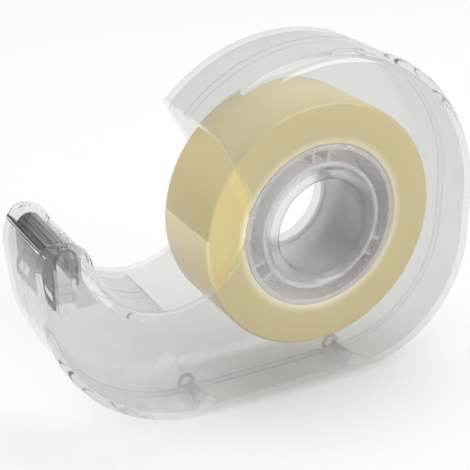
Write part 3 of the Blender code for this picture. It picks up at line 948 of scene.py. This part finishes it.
def mixed(tree, share, first, second):
    """A colour between two others."""
    node = add_node(tree, "ShaderNodeMix", {0: share}, data_type="RGBA")
    inputs = [socket for socket in node.inputs if socket.type == "RGBA"]
    for socket, value in zip(inputs, (first, second)):
        if isinstance(value, bpy.types.NodeSocket):
            tree.links.new(value, socket)
        else:
            socket.default_value = (*value, 1.0)
    return next(socket for socket in node.outputs if socket.type == "RGBA")


def let_lamps_through(tree, shader, share):
    """Makes a surface pass on a share of the lamps' light, so that it throws a pale shadow."""
    passing = add_node(tree, "ShaderNodeBsdfTransparent", {"Color": (*share, 1.0)})
    path = add_node(tree, "ShaderNodeLightPath")
    choice = add_node(tree, "ShaderNodeMixShader", {0: path.outputs["Is Shadow Ray"]})
    tree.links.new(shader.outputs[0], choice.inputs[1])
    tree.links.new(passing.outputs[0], choice.inputs[2])
    tree.links.new(choice.outputs[0], tree.nodes["Material Output"].inputs["Surface"])


def clear_plastic(name, clearness):
    """Clear moulded plastic that lamps shine through, with handling marks on it.

    It gives back the material, its tree, its shader, its coordinates from the roll's axis and its marks.
    """
    material, tree, shader, place = new_material(name)
    marks = use_group(tree, handling_marks(), place, Scale=260.0, Amount=0.35).outputs["Mask"]
    flow = use_group(tree, moulding_flow(), place, Scale=70.0).outputs["Height"]
    bump = add_node(tree, "ShaderNodeBump", {"Height": flow, "Strength": 0.02, "Distance": 0.2 * MM})
    tree.links.new(bump.outputs[0], shader.inputs["Normal"])
    inside = add_node(tree, "ShaderNodeNewGeometry").outputs["Backfacing"]
    tree.links.new(maths(tree, "SUBTRACT", 1.0, inside), shader.inputs["Coat Weight"])
    shader.inputs["Coat IOR"].default_value = 1.5
    shader.inputs["Coat Roughness"].default_value = 0.03
    shader.inputs["IOR"].default_value = PLASTIC_IOR
    shader.inputs["Transmission Weight"].default_value = clearness
    let_lamps_through(tree, shader, LAMP_SHARE)
    return material, tree, shader, from_roll(tree, place), marks


def from_axis(tree, centred):
    """Distance of a point from the roll's axis."""
    flat = vector_maths(tree, "MULTIPLY", centred, (1.0, 0.0, 1.0))
    return vector_maths(tree, "LENGTH", flat, output=1)


def mouth_edge(tree, centred):
    """Mask of the cut edge round the mouth and along the hood's front."""
    middle = Vector((MOUTH_CENTRE[0], 0.0, MOUTH_CENTRE[1]))
    from_mouth = from_axis(tree, vector_maths(tree, "SUBTRACT", centred, tuple(middle)))
    rounded = ramp(tree, from_mouth, MOUTH_RADIUS + 0.2 * MM, MOUTH_RADIUS + 0.5 * MM, 1.0, 0.0)
    tip = Vector((HOOD_TIP[0], 0.0, HOOD_TIP[1]))
    square = Vector(hood_square())
    behind = vector_maths(tree, "SUBTRACT", centred, tuple(tip))
    depth = vector_maths(tree, "DOT_PRODUCT", behind, (square.x, 0.0, square.y), output=1)
    straight = ramp(tree, depth, 0.2 * MM, 0.5 * MM, 1.0, 0.0)
    above = add_node(tree, "ShaderNodeSeparateXYZ", {"Vector": centred}).outputs["Z"]
    hood = maths(tree, "MULTIPLY", straight, ramp(tree, above, MOUTH_CENTRE[1], MOUTH_RADIUS))
    return maths(tree, "MAXIMUM", rounded, hood)


def posts_mask(tree, centred):
    """Mask of the posts that stand above the base."""
    apart = add_node(tree, "ShaderNodeSeparateXYZ", {"Vector": centred}).outputs
    above = ramp(tree, apart["Z"], POST_HEIGHT - 1.1 * MM, POST_HEIGHT - 0.9 * MM)
    below = ramp(tree, apart["Z"], POST_HEIGHT + POST_RADIUS, POST_HEIGHT + POST_RADIUS + 0.5 * MM, 1.0, 0.0)
    across = maths(tree, "ABSOLUTE", apart["Y"])
    between = ramp(tree, across, HALF_WIDTH - 2.0 * MM, HALF_WIDTH - 1.6 * MM, 1.0, 0.0)
    along = maths(tree, "ABSOLUTE", maths(tree, "SUBTRACT", apart["X"], sum(POST_PLACES) / 2))
    reach = (POST_PLACES[1] - POST_PLACES[0]) / 2 + POST_RADIUS
    near = ramp(tree, along, reach, reach + MM, 1.0, 0.0)
    standing = maths(tree, "MULTIPLY", above, below)
    return maths(tree, "MULTIPLY", standing, maths(tree, "MULTIPLY", between, near))


def shell_plastic(tint):
    """Plastic of the half shells: matt round the hub, painted shade along the seam and at a slant, painted
    light on the cut edge, posts and base.
    """
    material, tree, shader, centred, marks = clear_plastic("clear_shell", SHELL_CLEARNESS)
    away = from_axis(tree, centred)
    apart = add_node(tree, "ShaderNodeSeparateXYZ", {"Vector": centred}).outputs
    across = maths(tree, "ABSOLUTE", apart["Y"])
    # Painted shade: the walls' colour goes darker in a thin band along the seam, except near the hub
    near_seam = ramp(tree, across, 0.0, SEAM_SHADE_REACH, 1.0, 0.0)
    outward = ramp(tree, across, SEAM_HALF, SEAM_HALF + 0.02 * MM)
    in_seam = maths(tree, "MULTIPLY", near_seam, outward)
    seam_shade = maths(tree, "MULTIPLY", in_seam, ramp(tree, away, HUB_RADIUS, CORE_OUTER))
    # Painted light: the posts, the seam's faces and the base take a lighter tint than the walls, which lifts
    # the shade seen through them
    standing = maths(tree, "MAXIMUM", maths(tree, "SUBTRACT", 1.0, outward), posts_mask(tree, centred))
    base = ramp(tree, apart["Z"], BASE_Z + 1.6 * MM, BASE_Z + 2.2 * MM, BASE_PAINTED_LIGHT, 0.0)
    inside = maths(tree, "MAXIMUM", standing, base)
    matt = ramp(tree, away, HUB_RADIUS, HUB_RADIUS + MM, HUB_MATT, 0.0)
    duller = [channel * 0.97 for channel in tint]
    shaded = [channel * EDGE_SHADE for channel in tint]
    seam_shaded_tint = [channel * SEAM_SHADE for channel in tint]
    # Painted shade: the walls' colour goes darker where they are seen at a slant, as dark outlines
    slant = maths(tree, "POWER", add_node(tree, "ShaderNodeLayerWeight").outputs["Facing"], SLANT_POWER)
    walls = mixed(tree, slant, mixed(tree, marks, tint, duller), shaded)
    # Painted light: the mouth's cut edge takes the same lighter tint, as a light band along it
    edge = mouth_edge(tree, centred)
    painted_light_walls = mixed(tree, maths(tree, "MAXIMUM", edge, inside), walls, PAINTED_LIGHT_TINT)
    tree.links.new(mixed(tree, seam_shade, painted_light_walls, seam_shaded_tint), shader.inputs["Base Color"])
    worn = maths(tree, "ADD", shade_range(tree, marks, 0.03, 0.12), matt)
    frosted = maths(tree, "MULTIPLY_ADD", edge, EDGE_FROST, worn)
    tree.links.new(frosted, shader.inputs["Roughness"])
    return material


def core_plastic(tint):
    """Slightly milky plastic of the core."""
    material, tree, shader, _, marks = clear_plastic("clear_core", CORE_CLEARNESS)
    duller = [channel * 0.93 for channel in tint]
    tree.links.new(mixed(tree, marks, tint, duller), shader.inputs["Base Color"])
    tree.links.new(shade_range(tree, marks, 0.25, 0.4), shader.inputs["Roughness"])
    return material


def cutter_steel(tint):
    """Rolled steel with drawing lines along the blade, whose darker and lighter streaks in the colour are
    partly painted reflection.
    """
    material, tree, shader, place = new_material("cutter_steel")
    drawn = add_node(tree, "ShaderNodeMapping", {"Vector": place, "Scale": (1.0, 0.02, 1.0)})
    lines = add_node(
        tree, "ShaderNodeTexNoise", {"Vector": drawn.outputs[0], "Scale": STREAK_SCALE, "Detail": 3.0}
    ).outputs[0]
    # Darker and lighter streaks in the colour: partly the drawing lines, partly painted reflection
    drawn_streaks_and_reflections = ramp(tree, lines, *STREAK_RANGE)
    marks = use_group(tree, handling_marks(), place, Scale=500.0, Amount=0.6).outputs["Mask"]
    dark = [channel * STEEL_DARK for channel in tint]
    bright = [channel * STEEL_BRIGHT for channel in tint]
    tree.links.new(mixed(tree, drawn_streaks_and_reflections, dark, bright), shader.inputs["Base Color"])
    tree.links.new(shade_range(tree, marks, 0.14, 0.3), shader.inputs["Roughness"])
    bump = add_node(tree, "ShaderNodeBump", {"Height": lines, "Strength": 0.25, "Distance": 0.02 * MM})
    tree.links.new(bump.outputs[0], shader.inputs["Normal"])
    shader.inputs["Metallic"].default_value = 1.0
    return material


def wound_tape(finish, end_angle):
    """Clear tape that turns honey yellow in the winding, with its turns as fine rings at the sides."""
    material, tree, shader, place = new_material("wound_tape")
    centred = from_roll(tree, place)
    away = from_axis(tree, centred)
    turns = add_node(
        tree,
        "ShaderNodeTexWave",
        {"Vector": centred, "Scale": 420.0, "Distortion": 1.2, "Detail": 2.0, "Detail Scale": 3.0},
        wave_type="RINGS",
        rings_direction="Y",
    ).outputs["Fac"]
    cloud = add_node(tree, "ShaderNodeTexNoise", {"Vector": place, "Scale": 90.0, "Detail": 2.0}).outputs[0]
    marks = use_group(tree, handling_marks(), place, Scale=320.0, Amount=0.3).outputs["Mask"]
    from_core = ramp(tree, away, TAPE_INNER, TAPE_INNER + PALE_RING)
    to_outside = ramp(tree, away, TAPE_HIGH.x - 0.8 * MM, TAPE_HIGH.x - 0.2 * MM, course="LINEAR")
    side = mixed(tree, from_core, finish.tape_inside, finish.tape_side)
    ringed = mixed(tree, shade_range(tree, turns, 0.0, 0.10), side, [c * 0.8 for c in finish.tape_side])
    body = mixed(tree, to_outside, ringed, finish.tape_outside)
    apart = add_node(tree, "ShaderNodeSeparateXYZ", {"Vector": centred}).outputs
    bearing = maths(tree, "ARCTAN2", apart["Z"], apart["X"])
    past_end = turn_past(tree, bearing, end_angle)
    # The outer face goes lighter over a fifth of a turn past the tape's free end
    lighter_past_end = ramp(tree, past_end, 0.0, 0.2, 1.0, 0.0, course="LINEAR")
    ended = mixed(tree, maths(tree, "MULTIPLY", lighter_past_end, to_outside), body, finish.tape_end)
    deeper = [channel * 0.85 for channel in finish.tape_outside]
    clouded = mixed(tree, shade_range(tree, cloud, 0.0, 0.12), ended, deeper)
    tree.links.new(clouded, shader.inputs["Base Color"])
    tree.links.new(shade_range(tree, marks, 0.34, 0.5), shader.inputs["Roughness"])
    bump = add_node(tree, "ShaderNodeBump", {"Height": turns, "Strength": 0.12, "Distance": 0.05 * MM})
    tree.links.new(bump.outputs[0], shader.inputs["Normal"])
    let_lamps_through(tree, shader, TAPE_LAMP_SHARE)
    shader.inputs["IOR"].default_value = 1.47
    shader.inputs["Coat Weight"].default_value = 0.25
    shader.inputs["Coat Roughness"].default_value = 0.12
    return material


def floor_material(tint):
    """Plain pale studio floor."""
    material, tree, shader, place = new_material("studio_floor")
    grain = add_node(tree, "ShaderNodeTexNoise", {"Vector": place, "Scale": 40.0, "Detail": 2.0}).outputs[0]
    tree.links.new(mixed(tree, grain, tint, [c * 0.995 for c in tint]), shader.inputs["Base Color"])
    shader.inputs["Roughness"].default_value = 0.9
    shader.inputs["Specular IOR Level"].default_value = 0.1
    return material


def make_world(strength):
    """Even white light from all round."""
    world = bpy.data.worlds.new("studio")
    bpy.context.scene.world = world
    world.use_nodes = True
    background = world.node_tree.nodes["Background"]
    background.inputs["Color"].default_value = (1.0, 1.0, 1.0, 1.0)
    background.inputs["Strength"].default_value = strength


def add_soft_box(name, place, target, size, power):
    lamp = bpy.data.lights.new(name, "AREA")
    lamp.shape = "RECTANGLE"
    lamp.size, lamp.size_y = size
    lamp.energy = power
    item = bpy.data.objects.new(name, lamp)
    item.location = place
    item.rotation_euler = (Vector(target) - Vector(place)).to_track_quat("-Z", "Y").to_euler()
    bpy.context.scene.collection.objects.link(item)


def make_stage(scene):
    stage = scene.dispenser_stage
    half = stage.floor_size / 2
    low = -FLOOR_GAP
    corners = [(-half, -half, low), (half, -half, low), (half, half, low), (-half, half, low)]
    mesh = bpy.data.meshes.new("studio_floor")
    mesh.from_pydata(corners, [], [(0, 1, 2, 3)])
    mesh.materials.append(floor_material(scene.dispenser_finish.floor))
    floor = holder_of(mesh)
    make_world(stage.world_strength)
    middle = (0.0, 0.0, ROLL_AXIS.z)
    add_soft_box("top_box", TOP_BOX_PLACE, middle, TOP_BOX_SIZE, stage.top_power)
    add_soft_box("side_box", SIDE_BOX_PLACE, middle, SIDE_BOX_SIZE, stage.side_power)

    lens = bpy.data.cameras.new("photo_camera")
    lens.lens = CAMERA_LENS
    lens.sensor_width = CAMERA_SENSOR
    lens.clip_start = 0.01
    camera = bpy.data.objects.new("photo_camera", lens)
    camera.location = CAMERA_PLACE
    camera.rotation_euler = (math.pi / 2 - CAMERA_ELEVATION, 0.0, CAMERA_AZIMUTH)
    scene.collection.objects.link(camera)
    scene.camera = camera
    scene.view_settings.view_transform = "Standard"


class DISPENSER_OT_half_shells(bpy.types.Operator):
    """Builds the two clear half shells"""

    bl_idname = "dispenser.half_shells"
    bl_label = "Clear half shells"

    def execute(self, context):
        make_half_shells(context.scene)
        return {"FINISHED"}


class DISPENSER_OT_cutter(bpy.types.Operator):
    """Builds the bent steel cutter and its teeth"""

    bl_idname = "dispenser.cutter"
    bl_label = "Steel cutter"

    def execute(self, context):
        make_cutter(context.scene)
        return {"FINISHED"}


class DISPENSER_OT_core(bpy.types.Operator):
    """Builds the clear core with its ribs"""

    bl_idname = "dispenser.core"
    bl_label = "Tape core"

    def execute(self, context):
        make_core(context.scene)
        return {"FINISHED"}


class DISPENSER_OT_tape(bpy.types.Operator):
    """Builds the wound tape"""

    bl_idname = "dispenser.tape"
    bl_label = "Wound tape"

    def execute(self, context):
        make_tape(context.scene)
        return {"FINISHED"}


class DISPENSER_OT_stage(bpy.types.Operator):
    """Builds the floor, the lamps, the world and the camera"""

    bl_idname = "dispenser.stage"
    bl_label = "Studio stage"

    def execute(self, context):
        make_stage(context.scene)
        return {"FINISHED"}


class DISPENSER_PT_pieces(bpy.types.Panel):
    """Lists the pieces of the dispenser"""

    bl_idname = "DISPENSER_PT_pieces"
    bl_label = "Tape dispenser"
    bl_space_type = "VIEW_3D"
    bl_region_type = "UI"
    bl_category = "Dispenser"

    def draw(self, context):
        for operator in OPERATORS:
            self.layout.operator(operator.bl_idname)


GROUPS = {
    "dispenser_shell": ShellSizes,
    "dispenser_roll": RollSizes,
    "dispenser_cutter": CutterSizes,
    "dispenser_finish": Finishes,
    "dispenser_stage": StageSettings,
}
OPERATORS = (
    DISPENSER_OT_stage,
    DISPENSER_OT_half_shells,
    DISPENSER_OT_cutter,
    DISPENSER_OT_core,
    DISPENSER_OT_tape,
)


def register():
    for item in (*GROUPS.values(), *OPERATORS, DISPENSER_PT_pieces):
        bpy.utils.register_class(item)
    for name, group in GROUPS.items():
        setattr(bpy.types.Scene, name, PointerProperty(type=group))


def unregister():
    for name in GROUPS:
        delattr(bpy.types.Scene, name)
    for item in reversed((*GROUPS.values(), *OPERATORS, DISPENSER_PT_pieces)):
        bpy.utils.unregister_class(item)


def main():
    register()
    bpy.ops.dispenser.stage()
    bpy.ops.dispenser.half_shells()
    bpy.ops.dispenser.cutter()
    bpy.ops.dispenser.core()
    bpy.ops.dispenser.tape()


if __name__ == "__main__":
    main()
